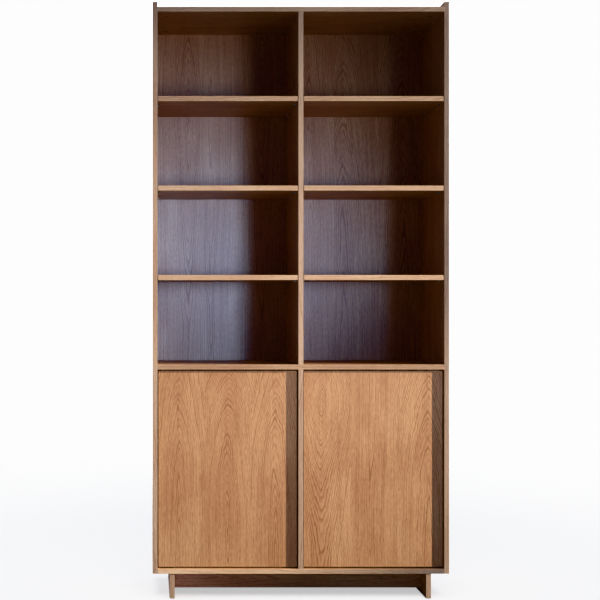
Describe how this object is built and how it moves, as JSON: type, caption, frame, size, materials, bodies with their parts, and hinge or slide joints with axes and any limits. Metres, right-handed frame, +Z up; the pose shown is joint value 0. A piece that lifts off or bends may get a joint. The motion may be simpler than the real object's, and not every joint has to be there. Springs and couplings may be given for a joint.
{
  "type": "bookcase with cabinet doors",
  "caption": "Tall free-standing bookcase in oak-veneered board: open compartments in two bays over a cabinet with flat inset doors, on a recessed base.",
  "frame": {"origin": "on the floor, at the middle of the width and of the depth", "axes": "+Z up, +X to the right seen from the front, the front faces -Y"},
  "size_m": [1.068, 0.38, 2.154],
  "materials": {
    "case_veneer": "satin lacquer, grain along each board",
    "back_veneer": "satin lacquer, upright grain",
    "shelf_veneer": "satin lacquer, grain along the shelf",
    "door_veneer": "satin lacquer, upright cathedral grain",
    "base_veneer": "satin lacquer",
    "steel_pins": "nickel plated",
    "steel_plates": "zinc plated",
    "screw_steel": "zinc plated",
    "spring_steel": "drawn wire",
    "cam_zinc": "die cast",
    "brown_plastic": "matte",
    "grey_plastic": "matte",
    "white_plastic": "smooth",
    "nylon": "matte",
    "beech": "bare"
  },
  "bodies": {
    "carcass": {"side_panel_left": "case_veneer", "side_panel_right": "case_veneer", "top_panel": "case_veneer", "bottom_panel": "case_veneer", "fixed_shelf": "case_veneer", "divider_upper": "case_veneer", "divider_lower": "case_veneer", "back_panel_upper": "back_veneer", "back_panel_lower": "back_veneer", "shelf_left_1": "shelf_veneer", "shelf_left_2": "shelf_veneer", "shelf_left_3": "shelf_veneer", "shelf_right_1": "shelf_veneer", "shelf_right_2": "shelf_veneer", "shelf_right_3": "shelf_veneer", "cabinet_shelf_left": "shelf_veneer", "cabinet_shelf_right": "shelf_veneer", "base_runner_left": "base_veneer", "base_runner_right": "base_veneer", "base_rail_front": "base_veneer", "base_rail_rear": "base_veneer", "shelf_pins_bookcase": "steel_pins", "shelf_pins_cabinet": "steel_pins", "pivot_pins": "steel_pins", "pivot_washers": "steel_pins", "pivot_plates_carcass": "steel_plates", "anti_tip_brackets": "steel_plates", "pivot_screws_carcass": "screw_steel", "latch_screws": "screw_steel", "divider_screws": "screw_steel", "back_screws": "screw_steel", "base_frame_screws": "screw_steel", "base_panel_screws": "screw_steel", "bracket_screws": "screw_steel", "cam_bolts": "screw_steel", "latch_spring_left": "spring_steel", "latch_spring_right": "spring_steel", "cam_locks": "cam_zinc", "cam_caps": "brown_plastic", "latch_housing_left": "grey_plastic", "latch_housing_right": "grey_plastic", "floor_glides": "nylon", "wood_dowels": "beech", "through_dowels": "beech"},
    "door_left": {"door_left": "door_veneer", "pivot_plates_door_left": "steel_plates", "pivot_screws_door_left": "screw_steel", "strike_plate_left": "steel_plates", "strike_screw_left": "screw_steel"},
    "latch_plunger_left": {"latch_plunger_left": "white_plastic"},
    "door_right": {"door_right": "door_veneer", "pivot_plates_door_right": "steel_plates", "pivot_screws_door_right": "screw_steel", "strike_plate_right": "steel_plates", "strike_screw_right": "screw_steel"},
    "latch_plunger_right": {"latch_plunger_right": "white_plastic"}
  },
  "joints": [
    {"name": "door_left_hinge", "type": "hinge", "parent": "carcass", "child": "door_left", "pos_m": [-0.497, -0.169, 0.113], "axis": [0, 0, -1], "range_deg": [0, 100]},
    {"name": "door_right_hinge", "type": "hinge", "parent": "carcass", "child": "door_right", "pos_m": [0.497, -0.169, 0.113], "axis": [0, 0, 1], "range_deg": [0, 100]},
    {"name": "latch_left_push", "type": "slide", "parent": "carcass", "child": "latch_plunger_left", "axis": [0, 1, 0], "range_m": [0, 0.004], "stiffness_N_per_m": 800},
    {"name": "latch_right_push", "type": "slide", "parent": "carcass", "child": "latch_plunger_right", "axis": [0, 1, 0], "range_m": [0, 0.004], "stiffness_N_per_m": 800}
  ]
}
